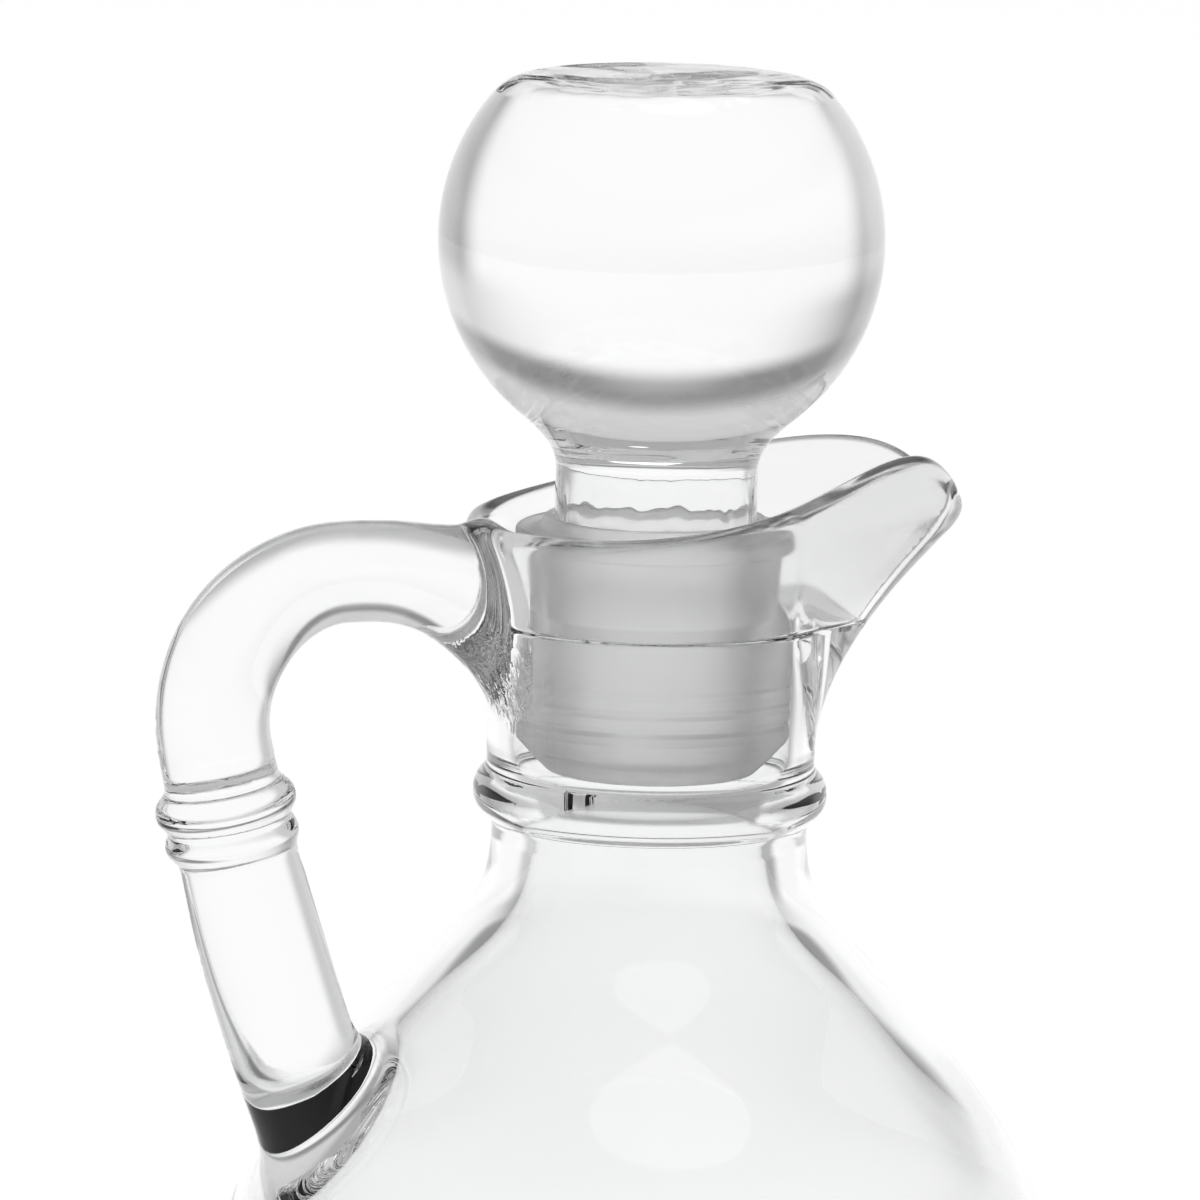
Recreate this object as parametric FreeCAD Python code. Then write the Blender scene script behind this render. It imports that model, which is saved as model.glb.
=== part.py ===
import FreeCAD, Part
import math
import os
from FreeCAD import Vector

# A table cruet for oil or vinegar.
#
# The glass bottle is a round-bellied vessel with a thick wall. A bead rings its neck, and its
# mouth opens into a cup that runs out into a pouring spout. A solid round glass handle is fused
# to the rim and to the shoulder. The mouth is closed by a solid glass ball knob whose shank
# sits in a plastic sleeve, and the sleeve plugs the tapered bore of the neck.
#
# Millimetres. The origin is the centre of the foot on the table, +Z is up, the spout points
# along +X and the handle along -X. The XZ plane is a plane of symmetry.

# ---- driving dimensions -------------------------------------------------------------------

# Heights of the main features above the table.
BEAD_Z = 92.0
BELLY_Z = 43.0
BORE_TOP_Z = BEAD_Z + 16.0
RIM_BACK_Z = BEAD_Z + 25.4
RIM_SPOUT_Z = BEAD_Z + 31.4

# Vessel, outside.
BELLY_R = 39.5
FOOT_R = 27.0
FOOT_INNER_R = 21.5
FOOT_HOLLOW = 2.5
HEEL_R = 31.6
HEEL_Z = 4.6
SHOULDER_NECK_R = 14.65
NECK_R = 15.2
BEAD_R = 16.45
RIM_R = 17.9

# Mouth: the neck flares from a little above the bead, and the spout grows out of it.
FLARE_START = 2.0
FLARE_HEIGHT = 24.0
SPOUT_X = 30.8
SPOUT_TIP_R = 4.6
SPOUT_ROOT = 0.1
SPOUT_GROWTH = 0.0486
SPOUT_ROUND = 0.8

# Vessel, inside.
FLOOR_Z = 7.0
THROAT_R = 10.7
THROAT_Z = BEAD_Z - 5.0
BORE_BOTTOM_Z = BEAD_Z + 4.6
BORE_BOTTOM_R = 12.75
BORE_TOP_R = 13.0
CUP_WALL = 2.9
LIP_WALL = 2.3

# Handle.
ARM_Z = BEAD_Z + 21.7
ARM_R = 4.7
BEND_R = 13.0
BEND_X = -30.6
BEND_SWEEP = 102.0
LEG_R = 5.3
LOWER_LEG_R = 5.85
LEG_CURVE_R = 210.0
LEG_CURVE_SWEEP = 12.5
KNUCKLE_R = 6.6
SMALL_KNUCKLE_R = 6.2

# Stopper.
BALL_R = 20.65
BALL_Z = BEAD_Z + 51.4
BALL_TOP_Z = BALL_Z + 14.8
STEM_R = 9.35
SHANK_END_R = 8.4
SHANK_END_Z = BEAD_Z + 3.6
SLEEVE_TOP_Z = BEAD_Z + 24.6
FLANGE_R = 12.1
FLANGE_HEIGHT = 1.5
FLANGE_STEP = 1.0
COLLAR_R = 11.8
NOSE_R = 9.6
NOSE_END_Z = BEAD_Z + 1.8
SEAL_END_Z = BEAD_Z + 6.2
RIB_DEPTH = 0.3
RIB_PITCH = 1.7
FIT = 0.05


# ---- small builders -----------------------------------------------------------------------

def at(radius, z):
    """A point of a turned outline, in the XZ plane."""
    return Vector(radius, 0, z)


def line(start, end):
    return Part.LineSegment(start, end).toShape()


def arc(start, middle, end):
    return Part.Arc(start, middle, end).toShape()


def smooth(points):
    """A curve through a few points of an outline."""
    curve = Part.BSplineCurve()
    curve.interpolate(points)
    return curve.toShape()


def closed_curve(points):
    """A smooth closed curve through points, evenly paced so that sections loft cleanly."""
    count = len(points)
    pace = [index / count for index in range(count + 1)]
    curve = Part.BSplineCurve()
    curve.interpolate(Points=points, Parameters=pace, PeriodicFlag=True)
    return Part.Wire(curve.toShape())


def turn(edges):
    """The solid made by turning a closed outline once round the Z axis."""
    face = Part.Face(Part.Wire(edges))
    return face.revolve(Vector(0, 0, 0), Vector(0, 0, 1), 360)


def blend(start, end, share):
    """A smooth step from start to end as share goes from 0 to 1."""
    share = min(max(share, 0.0), 1.0)
    return start + (end - start) * share * share * (3 - 2 * share)


# ---- vessel -------------------------------------------------------------------------------

def vessel_outside():
    """Foot, belly, shoulder and bead as one turned solid, closed across the neck."""
    outline = [
        line(at(0, FOOT_HOLLOW), at(FOOT_INNER_R - 3, FOOT_HOLLOW)),
        arc(at(FOOT_INNER_R - 3, FOOT_HOLLOW), at(FOOT_INNER_R - 0.9, FOOT_HOLLOW / 2), at(FOOT_INNER_R, 0)),
        line(at(FOOT_INNER_R, 0), at(FOOT_R, 0)),
        arc(at(FOOT_R, 0), at(29.9, 1.35), at(HEEL_R, HEEL_Z)),
        smooth([
            at(HEEL_R, HEEL_Z),
            at(35.6, 15),
            at(38.5, 28),
            at(BELLY_R, BELLY_Z),
            at(38.8, 50),
            at(36.7, 56),
            at(33.0, 62),
            at(28.3, 68),
            at(22.95, 74),
            at(18.1, 79),
            at(15.5, 83),
            at(SHOULDER_NECK_R, BEAD_Z - 4.6),
        ]),
        line(at(SHOULDER_NECK_R, BEAD_Z - 4.6), at(SHOULDER_NECK_R, BEAD_Z - 2.8)),
        arc(at(SHOULDER_NECK_R, BEAD_Z - 2.8), at(BEAD_R, BEAD_Z - 0.3), at(NECK_R - 0.6, BEAD_Z + 2.5)),
        line(at(NECK_R - 0.6, BEAD_Z + 2.5), at(0, BEAD_Z + 2.5)),
        line(at(0, BEAD_Z + 2.5), at(0, FOOT_HOLLOW)),
    ]
    return turn(outline)


def mouth_profile(height):
    """Round radius, spout reach and spout tip radius of the mouth, by height above the bead."""
    rise = max(height - FLARE_START, 0.0)
    round_r = NECK_R + (RIM_R - NECK_R) * (rise / FLARE_HEIGHT) ** 1.6
    spout_x = NECK_R + SPOUT_ROOT + SPOUT_GROWTH * rise ** 1.85
    over = (spout_x - SPOUT_X) / SPOUT_ROUND
    spout_x -= SPOUT_ROUND * math.log(1 + math.exp(over))
    tip_r = SPOUT_TIP_R + (NECK_R - 1 - SPOUT_TIP_R) * math.exp(-rise / 9)
    return round_r, spout_x, tip_r


def outline_radius(angle, round_r, spout_x, tip_r):
    """Distance from the axis to a round back and a small spout tip, joined by tangents."""
    angle = abs(angle)
    tip_centre = spout_x - tip_r
    turned = math.acos((round_r - tip_r) / tip_centre)
    tip_edge = math.atan2(tip_r * math.sin(turned), tip_centre + tip_r * math.cos(turned))
    if angle >= turned:
        return round_r
    if angle >= tip_edge:
        return round_r / math.cos(turned - angle)
    return tip_centre * math.cos(angle) + math.sqrt(tip_r ** 2 - (tip_centre * math.sin(angle)) ** 2)


def level_section(z, round_r, spout_x, tip_r):
    """A level section of the mouth, with its points closer together round the spout tip."""
    half_count = 36
    points = []
    for step in range(-half_count, half_count):
        share = step / half_count
        angle = math.pi * share * abs(share) ** 0.6
        radius = outline_radius(angle, round_r, spout_x, tip_r)
        points.append(Vector(radius * math.cos(angle), radius * math.sin(angle), z))
    return closed_curve(points)


def mouth_outside():
    """The neck above the bead, flaring to the rim and drawn out into the spout."""
    sections = []
    step_count = 15
    for step in range(step_count + 1):
        height = -1 + 36 * step / step_count
        sections.append(level_section(BEAD_Z + height, *mouth_profile(height)))
    return Part.makeLoft(sections, True, False)


def cup_inside():
    """The hollow of the mouth above the bore, one lip wall inside the outside surface."""
    sections = []
    step_count = 8
    first = BORE_TOP_Z - BEAD_Z
    for step in range(step_count + 1):
        height = first + (35 - first) * step / step_count
        round_r, spout_x, tip_r = mouth_profile(height)
        slope = spout_x - mouth_profile(height - 1)[1]
        round_r -= blend(CUP_WALL, LIP_WALL, (height - first) / 8)
        spout_x -= LIP_WALL * math.sqrt(1 + slope ** 2)
        sections.append(level_section(BEAD_Z + height, round_r, spout_x, max(tip_r - LIP_WALL, 2.0)))
    return Part.makeLoft(sections, True, False)


def above_rim():
    """Everything above the rim, which rises from the handle to the spout and dips at its tip."""
    rim = smooth([
        at(-60, RIM_BACK_Z),
        at(-RIM_R, RIM_BACK_Z + 0.1),
        at(-6, BEAD_Z + 26.3),
        at(6, BEAD_Z + 28.3),
        at(15, BEAD_Z + 30.4),
        at(22.5, RIM_SPOUT_Z),
        at(27.5, BEAD_Z + 29.6),
        at(SPOUT_X, BEAD_Z + 26.0),
    ])
    top = BEAD_Z + 45
    right = 40
    outline = [
        rim,
        line(at(SPOUT_X, BEAD_Z + 26.0), at(right, BEAD_Z + 16)),
        line(at(right, BEAD_Z + 16), at(right, top)),
        line(at(right, top), at(-60, top)),
        line(at(-60, top), at(-60, RIM_BACK_Z)),
    ]
    face = Part.Face(Part.Wire(outline))
    face.translate(Vector(0, -40, 0))
    return face.extrude(Vector(0, 80, 0))


def vessel_inside():
    """The space for the oil, the throat and the tapered bore, turned as one solid."""
    over = BORE_TOP_Z + 0.5
    outline = [
        line(at(0, over), at(0, FLOOR_Z + 0.8)),
        arc(at(0, FLOOR_Z + 0.8), at(11, FLOOR_Z + 0.5), at(22, FLOOR_Z)),
        arc(at(22, FLOOR_Z), at(28.3, 8.9), at(32.3, 14.2)),
        smooth([
            at(32.3, 14.2),
            at(36.2, 27),
            at(BELLY_R - 1.9, BELLY_Z),
            at(36.9, 50),
            at(34.5, 56),
            at(29.9, 62),
            at(24.0, 68),
            at(18.0, 74),
            at(13.3, 79),
            at(11.4, 83),
            at(THROAT_R, THROAT_Z),
        ]),
        smooth([
            at(THROAT_R, THROAT_Z),
            at(11.0, BEAD_Z - 2.5),
            at(12.1, BEAD_Z + 0.5),
            at(12.65, BEAD_Z + 3.0),
            at(BORE_BOTTOM_R, BORE_BOTTOM_Z),
        ]),
        line(at(BORE_BOTTOM_R, BORE_BOTTOM_Z), at(BORE_TOP_R, BORE_TOP_Z)),
        line(at(BORE_TOP_R, BORE_TOP_Z), at(BORE_TOP_R, over)),
        line(at(BORE_TOP_R, over), at(0, over)),
    ]
    return turn(outline)


# ---- handle -------------------------------------------------------------------------------

def oval(centre, tangent, half_width, half_height):
    """A section across the handle, square to its run in the XZ plane."""
    count = 16
    side = Vector(0, 1, 0)
    across = tangent.cross(side)
    across.normalize()
    points = []
    for step in range(count):
        angle = 2 * math.pi * step / count
        sideways = side * (half_width * math.cos(angle))
        upwards = across * (half_height * math.sin(angle))
        points.append(centre + sideways + upwards)
    return closed_curve(points)


def handle_stations():
    """Centre, direction and section of the handle, from inside the rim to inside the shoulder."""
    stations = [
        (at(-11.0, BEAD_Z + 16.2), Vector(-1, 0, 0), 4.9, 9.2),
        (at(-15.5, BEAD_Z + 17.1), Vector(-1, 0, 0), 4.9, 8.3),
        (at(-18.5, BEAD_Z + 18.8), Vector(-1, 0, 0.05), 4.8, 6.7),
        (at(-21.5, BEAD_Z + 20.2), Vector(-1, 0, 0.08), 4.7, 5.5),
        (at(-25.5, ARM_Z - 0.3), Vector(-1, 0, 0.05), ARM_R, ARM_R + 0.1),
    ]
    bend_centre = at(BEND_X, ARM_Z - BEND_R)
    bend_steps = 6
    for step in range(bend_steps + 1):
        turned = math.radians(BEND_SWEEP * step / bend_steps)
        radius = blend(ARM_R, LEG_R, 1.5 * step / bend_steps)
        out = Vector(-math.sin(turned), 0, math.cos(turned))
        along = Vector(-math.cos(turned), 0, -math.sin(turned))
        stations.append((bend_centre + out * BEND_R, along, radius, radius))
    leg_start = stations[-1][0]
    start_angle = math.radians(BEND_SWEEP)
    leg_centre = leg_start + Vector(math.sin(start_angle), 0, -math.cos(start_angle)) * LEG_CURVE_R
    leg_steps = 5
    for step in range(1, leg_steps + 1):
        turned = math.radians(BEND_SWEEP + LEG_CURVE_SWEEP * step / leg_steps)
        radius = blend(LEG_R, LOWER_LEG_R, 2.0 * step / leg_steps)
        out = Vector(-math.sin(turned), 0, math.cos(turned))
        along = Vector(-math.cos(turned), 0, -math.sin(turned))
        stations.append((leg_centre + out * LEG_CURVE_R, along, radius, radius))
    return stations


def knuckle(stations, height, radius, depth):
    """A rounded ring on the leg, at a height above the bead."""
    leg_radius = LEG_R + 0.1
    bend_end, along = stations[11][0], stations[11][1]
    drop = (bend_end.z - BEAD_Z - height) / -along.z
    centre = bend_end + along * drop
    ring = Part.makeTorus(radius - depth / 2, depth / 2, centre, along)
    plate = Part.makeCylinder(leg_radius, depth * 0.9, centre - along * (depth * 0.45), along)
    return ring.fuse(plate)


def handle():
    stations = handle_stations()
    sections = [oval(*station) for station in stations]
    rod = Part.makeLoft(sections, True, False)
    rod = rod.fuse(knuckle(stations, 0.7, KNUCKLE_R, 3.4))
    return rod.fuse(knuckle(stations, -2.4, SMALL_KNUCKLE_R, 2.6))


# ---- stopper ------------------------------------------------------------------------------

def sleeve():
    """A plastic cup: flange and collar above, tapered seal with ribs, then a narrower nose."""
    seal_top = BORE_TOP_Z
    seal_top_r = BORE_TOP_R - FIT
    seal_end = SEAL_END_Z
    bore_share = (SEAL_END_Z - BORE_BOTTOM_Z) / (BORE_TOP_Z - BORE_BOTTOM_Z)
    seal_end_r = BORE_BOTTOM_R + (BORE_TOP_R - BORE_BOTTOM_R) * bore_share - FIT
    hole_top_r = STEM_R + FIT
    hole_end_r = SHANK_END_R + FIT
    hole_end = SHANK_END_Z - FIT
    flange_low = SLEEVE_TOP_Z - FLANGE_HEIGHT
    step_z = SLEEVE_TOP_Z + FLANGE_STEP
    edges = [
        line(at(0, NOSE_END_Z), at(NOSE_R - 0.8, NOSE_END_Z)),
        arc(at(NOSE_R - 0.8, NOSE_END_Z), at(NOSE_R - 0.2, NOSE_END_Z + 0.2), at(NOSE_R, NOSE_END_Z + 0.8)),
        line(at(NOSE_R, NOSE_END_Z + 0.8), at(seal_end_r - 0.3, seal_end - 0.7)),
        line(at(seal_end_r - 0.3, seal_end - 0.7), at(seal_end_r, seal_end)),
        line(at(seal_end_r, seal_end), at(seal_top_r, seal_top)),
        line(at(seal_top_r, seal_top), at(COLLAR_R, seal_top + 1.0)),
        line(at(COLLAR_R, seal_top + 1.0), at(COLLAR_R, flange_low)),
        line(at(COLLAR_R, flange_low), at(FLANGE_R, flange_low)),
        line(at(FLANGE_R, flange_low), at(FLANGE_R, SLEEVE_TOP_Z - 0.3)),
        line(at(FLANGE_R, SLEEVE_TOP_Z - 0.3), at(FLANGE_R - 0.3, SLEEVE_TOP_Z)),
        line(at(FLANGE_R - 0.3, SLEEVE_TOP_Z), at(hole_top_r + 1.4, SLEEVE_TOP_Z)),
        line(at(hole_top_r + 1.4, SLEEVE_TOP_Z), at(hole_top_r + 0.8, step_z)),
        line(at(hole_top_r + 0.8, step_z), at(hole_top_r, step_z)),
        line(at(hole_top_r, step_z), at(hole_top_r, SLEEVE_TOP_Z)),
        line(at(hole_top_r, SLEEVE_TOP_Z), at(hole_end_r, hole_end)),
        line(at(hole_end_r, hole_end), at(0, hole_end)),
        line(at(0, hole_end), at(0, NOSE_END_Z)),
    ]
    body = turn(edges)
    groove_count = 3
    for index in range(groove_count):
        z = seal_end + RIB_PITCH * (index + 1)
        share = (z - seal_end) / (seal_top - seal_end)
        radius = seal_end_r + (seal_top_r - seal_end_r) * share
        groove = Part.makeTorus(radius + RIB_DEPTH, 2 * RIB_DEPTH, Vector(0, 0, z), Vector(0, 0, 1))
        body = body.cut(groove)
    return body


def knob():
    """A solid glass ball with a flat top, a waist that runs into the stem, and a tapered shank."""
    top_r = math.sqrt(BALL_R ** 2 - (BALL_TOP_Z - BALL_Z) ** 2)
    edge_start = at(top_r - 1.2, BALL_TOP_Z)
    edge_middle = at(top_r + 0.15, BALL_TOP_Z - 0.55)
    edge_end = at(top_r + 1.3, BALL_TOP_Z - 1.55)
    waist_angle = math.radians(48)
    waist_r = BALL_R * math.cos(waist_angle)
    waist_z = BALL_Z - BALL_R * math.sin(waist_angle)
    outline = [
        line(at(0, BALL_TOP_Z), edge_start),
        arc(edge_start, edge_middle, edge_end),
        arc(edge_end, at(BALL_R, BALL_Z), at(waist_r, waist_z)),
        smooth([
            at(waist_r, waist_z),
            at(10.6, BEAD_Z + 33.4),
            at(STEM_R, BEAD_Z + 30.0),
        ]),
        line(at(STEM_R, BEAD_Z + 30.0), at(STEM_R, SLEEVE_TOP_Z)),
        line(at(STEM_R, SLEEVE_TOP_Z), at(SHANK_END_R, SHANK_END_Z + 1.0)),
        line(at(SHANK_END_R, SHANK_END_Z + 1.0), at(SHANK_END_R - 1.0, SHANK_END_Z)),
        line(at(SHANK_END_R - 1.0, SHANK_END_Z), at(0, SHANK_END_Z)),
        line(at(0, SHANK_END_Z), at(0, BALL_TOP_Z)),
    ]
    return turn(outline)


# ---- assembly -----------------------------------------------------------------------------

def main():
    os.makedirs("parts", exist_ok=True)
    outside = vessel_outside().fuse(mouth_outside())
    hollow = vessel_inside().fuse(cup_inside())
    body = outside.cut(above_rim()).cut(hollow)
    grip = handle().cut(outside)
    shapes = {
        "bottle_body": body,
        "handle": grip,
        "stopper_sleeve": sleeve(),
        "stopper_knob": knob(),
    }
    for name, shape in shapes.items():
        solid = shape.Solids[0]
        box = solid.optimalBoundingBox()
        print(name, "solids", len(shape.Solids), "valid", solid.isValid(), "volume", round(solid.Volume),
              "x", round(box.XMin, 2), round(box.XMax, 2), "z", round(box.ZMin, 2), round(box.ZMax, 2))
        solid.exportStep(os.path.join("parts", name + ".step"))


main()
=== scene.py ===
import math

import bpy
import numpy as np
from mathutils import Matrix, Vector


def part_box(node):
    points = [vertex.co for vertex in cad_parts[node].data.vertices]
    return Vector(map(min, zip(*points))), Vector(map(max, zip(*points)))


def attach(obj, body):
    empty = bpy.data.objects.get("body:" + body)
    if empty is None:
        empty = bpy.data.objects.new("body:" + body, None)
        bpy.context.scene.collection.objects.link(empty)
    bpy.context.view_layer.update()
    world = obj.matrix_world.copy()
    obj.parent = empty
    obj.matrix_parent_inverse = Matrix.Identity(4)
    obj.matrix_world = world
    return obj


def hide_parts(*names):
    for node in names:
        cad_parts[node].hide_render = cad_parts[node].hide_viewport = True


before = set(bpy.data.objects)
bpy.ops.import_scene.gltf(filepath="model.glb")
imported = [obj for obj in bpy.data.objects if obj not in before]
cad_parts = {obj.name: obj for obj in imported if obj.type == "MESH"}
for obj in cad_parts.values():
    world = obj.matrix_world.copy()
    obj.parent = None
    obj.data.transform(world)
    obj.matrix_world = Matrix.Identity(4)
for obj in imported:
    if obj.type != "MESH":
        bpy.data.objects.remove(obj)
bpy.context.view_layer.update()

# A clear glass table cruet with a ball stopper in a plastic sleeve.
#
# The bottle and its handle are one lump of fused glass, so they are one closed mesh here. It is
# the zero surface of a signed distance built from turned outlines, the drawn-out mouth and the
# round handle, blended where the glass flows together. The stopper's pieces are turned meshes.
#
# Outlines are worked out in millimetres and turned into metres when a mesh is made.

MM = 0.001

# ---- places read from the frame -----------------------------------------------------------


def node_mm(name):
    """Lowest and highest corners of a CAD node, in millimetres."""
    low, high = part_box(name)
    return [value / MM for value in low], [value / MM for value in high]


BODY_HIGH = node_mm("bottle_body")[1]
SLEEVE_LOW, SLEEVE_HIGH = node_mm("stopper_sleeve")
KNOB_LOW, KNOB_HIGH = node_mm("stopper_knob")

# The flat top is this far above the ball's middle, which is this far above the neck's bead.
FLAT_RISE = 14.8
BALL_RISE = 51.4
BALL_R = KNOB_HIGH[0]
BALL_TOP_Z = KNOB_HIGH[2]
BALL_Z = BALL_TOP_Z - FLAT_RISE
BEAD_Z = BALL_Z - BALL_RISE
BELLY_R = BODY_HIGH[0]

# Vessel.
FOOT_R = 27.0
FOOT_INNER_R = 21.5
FOOT_HOLLOW = 2.5
HEEL_R = 31.6
HEEL_Z = 4.6
NECK_R = 15.2
SHOULDER_NECK_R = 14.65
BEAD_CENTRE_R = 13.62
BEAD_DROP = 0.2
BEAD_SECTION_R = 2.83
THROAT_R = 10.7
THROAT_Z = BEAD_Z - 5
BORE_BOTTOM_Z = BEAD_Z + 4.6
BORE_BOTTOM_R = 12.75
BORE_TOP_Z = BEAD_Z + 16.0
BORE_TOP_R = 13.0
FLOOR_Z = 7.0
FLOOR_R = 22.0
FLOOR_RISE = 0.8
WALL_START_R = 32.3
WALL_START_Z = 14.2

# Mouth. Its neck flares from a little above the bead, and the spout grows out of it.
FLARE_START = 2.0
FLARE_HEIGHT = 24
RIM_R = 17.9
SPOUT_X = 30.8
SPOUT_TIP_R = 4.6
SPOUT_ROOT = 0.1
SPOUT_GROWTH = 0.0486
SPOUT_SOFTNESS = 0.8
LEAST_CUP_TIP_R = 2.0
CUP_WALL = 2.9
LIP_WALL = 2.3
RIM_ROUND = 2.1
RIM_RAISE = 0.2
RIM_SLOPE = 0.2
BORE_EDGE = 0.8

# Handle.
ARM_Z = BEAD_Z + 21.7
ARM_R = 4.7
BEND_R = 13.0
BEND_X = -30.6
BEND_SWEEP = math.radians(102)
LEG_R = 5.25
LOWER_LEG_R = 5.85
LEG_CURVE_R = 210.0
LEG_CURVE_SWEEP = math.radians(12.5)
ARM_ROOT_X = -15.6
ARM_WIDENING = 0.2

# Rings on the handle's leg: height above the bead, radius and depth.
LEG_RINGS = ((0.7, 6.54, 3.4), (-2.4, 6.2, 2.6))
RING_BLEND = 0.9

# How widely the handle's glass flows into the vessel, and the heights between which it changes.
FUSE = 2.4
LOWER_FUSE = 4.5
FUSE_CHANGE_Z = 72
FUSE_CHANGE_HEIGHT = 16


# ---- curves -------------------------------------------------------------------------------

class Curve:
    """A smooth curve y(x) through a few points, read from a fine table (a natural spline)."""

    def __init__(self, points, count=4001):
        x = np.array([point[0] for point in points], float)
        y = np.array([point[1] for point in points], float)
        bend = self.bends(x, y)
        self.x = np.linspace(x[0], x[-1], count)
        cell = np.clip(np.searchsorted(x, self.x) - 1, 0, len(x) - 2)
        gap = x[cell + 1] - x[cell]
        after = x[cell + 1] - self.x
        before = self.x - x[cell]
        cubic = (bend[cell] * after ** 3 + bend[cell + 1] * before ** 3) / (6 * gap)
        start = y[cell] / gap - bend[cell] * gap / 6
        end = y[cell + 1] / gap - bend[cell + 1] * gap / 6
        self.y = cubic + start * after + end * before

    @staticmethod
    def bends(x, y):
        """Second derivatives at the points."""
        gap = np.diff(x)
        matrix = np.eye(len(x))
        right = np.zeros(len(x))
        for index in range(1, len(x) - 1):
            row = [gap[index - 1], 2 * (gap[index - 1] + gap[index]), gap[index]]
            matrix[index, index - 1:index + 2] = row
            rises = np.diff(y[index - 1:index + 2]) / gap[index - 1:index + 1]
            right[index] = 6 * (rises[1] - rises[0])
        return np.linalg.solve(matrix, right)

    def __call__(self, x):
        return np.interp(x, self.x, self.y)


class Outline:
    """A radius along the axis, r(z), made of stretches, with its slope."""

    def __init__(self, low, high, function, count=8001):
        self.z = np.linspace(low, high, count)
        self.r = function(self.z)
        self.slope = np.gradient(self.r, self.z)

    def distance(self, rho, z):
        """Roughly how far outside the turned surface a place is."""
        radius = np.interp(z, self.z, self.r)
        slope = np.interp(z, self.z, self.slope)
        return (rho - radius) / np.sqrt(1 + slope * slope)


def circle_through(first, second, third):
    """Centre and radius of the circle through three points of a plane."""
    (ax, ay), (bx, by), (cx, cy) = first, second, third
    double = 2 * (ax * (by - cy) + bx * (cy - ay) + cx * (ay - by))
    a2, b2, c2 = ax * ax + ay * ay, bx * bx + by * by, cx * cx + cy * cy
    x = (a2 * (by - cy) + b2 * (cy - ay) + c2 * (ay - by)) / double
    y = (a2 * (cx - bx) + b2 * (ax - cx) + c2 * (bx - ax)) / double
    return x, y, math.hypot(ax - x, ay - y)


def arc_radius(z, first, second, third):
    """r(z) along the outer side of an arc through three (r, z) points."""
    r, centre_z, radius = circle_through(first, second, third)
    return r + np.sqrt(np.maximum(radius ** 2 - (z - centre_z) ** 2, 0))


def ease(start, end, share):
    """A smooth step from start to end as share goes from 0 to 1."""
    share = np.clip(share, 0, 1)
    return start + (end - start) * share * share * (3 - 2 * share)


def smooth_min(a, b, width):
    """The lower of two distances, rounded where they meet: a union with a fillet."""
    overlap = np.maximum(width - np.abs(a - b), 0) / width
    return np.minimum(a, b) - overlap * overlap * width / 4


def smooth_max(a, b, width):
    """The higher of two distances, rounded where they meet: a cut with rounded edges."""
    return -smooth_min(-a, -b, width)


# ---- vessel -------------------------------------------------------------------------------

BELLY_OUTSIDE = Curve([
    (HEEL_Z, HEEL_R), (15, 35.6), (28, 38.5), (43, BELLY_R - 0.02), (50, 38.8), (56, 36.7),
    (62, 33.0), (68, 28.3), (74, 22.95), (79, 18.1), (83, 15.5), (BEAD_Z - 4.6, SHOULDER_NECK_R),
])
BELLY_INSIDE = Curve([
    (WALL_START_Z, WALL_START_R), (27, 36.2), (43, BELLY_R - 1.9), (50, 36.9), (56, 34.5),
    (62, 29.9), (68, 24.0), (74, 18.0), (79, 13.3), (83, 11.4), (THROAT_Z, THROAT_R),
])
THROAT = Curve([
    (THROAT_Z, THROAT_R), (BEAD_Z - 2.5, 11.0), (BEAD_Z + 0.5, 12.1), (BEAD_Z + 3, 12.65),
    (BORE_BOTTOM_Z, BORE_BOTTOM_R),
])
RIM = Curve([
    (-60, 25.4), (-RIM_R, 25.5), (-6, 26.3), (6, 28.3), (15, 30.4), (22.5, 31.4), (27.5, 29.6),
    (SPOUT_X, 26.0), (40, 16.0),
])


def mouth_profile(height):
    """Round radius, spout reach and spout tip radius of the mouth, by height above the bead."""
    rise = np.maximum(height - FLARE_START, 0.0)
    neck = ease(SHOULDER_NECK_R, NECK_R, (height + 3) / 4)
    round_r = neck + (RIM_R - NECK_R) * (rise / FLARE_HEIGHT) ** 1.6
    spout_x = neck + ease(0, SPOUT_ROOT, rise / 3) + SPOUT_GROWTH * rise ** 1.85
    over = (spout_x - SPOUT_X) / SPOUT_SOFTNESS
    spout_x = spout_x - SPOUT_SOFTNESS * np.logaddexp(0, over)
    tip_r = SPOUT_TIP_R + (NECK_R - 1 - SPOUT_TIP_R) * np.exp(-rise / 9)
    return round_r, np.maximum(spout_x, round_r), tip_r


def plan_distance(x, y, round_r, spout_x, tip_r):
    """Distance in plan to a round back and a small spout tip joined by tangents, and the share
    of the way towards the tip."""
    tip_centre = spout_x - tip_r
    along_x = np.clip((round_r - tip_r) / np.maximum(tip_centre, 1e-6), 0, 1)
    along_y = np.sqrt(1 - along_x ** 2)
    y = np.abs(y)
    run = x * along_y - y * along_x
    reach = tip_centre * along_y
    beside = x * along_x + y * along_y - round_r
    behind = np.hypot(x, y) - round_r
    ahead = np.hypot(x - tip_centre, y) - tip_r
    distance = np.where(run < 0, behind, np.where(run > reach, ahead, beside))
    return distance, np.clip(run / np.maximum(reach, 0.5), 0, 1)


def outside_radius(z):
    """The heel, then the belly and shoulder up to the bead."""
    heel = arc_radius(z, (FOOT_R, 0.0), (29.9, 1.35), (HEEL_R, HEEL_Z))
    return np.where(z < HEEL_Z, heel, BELLY_OUTSIDE(z))


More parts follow.
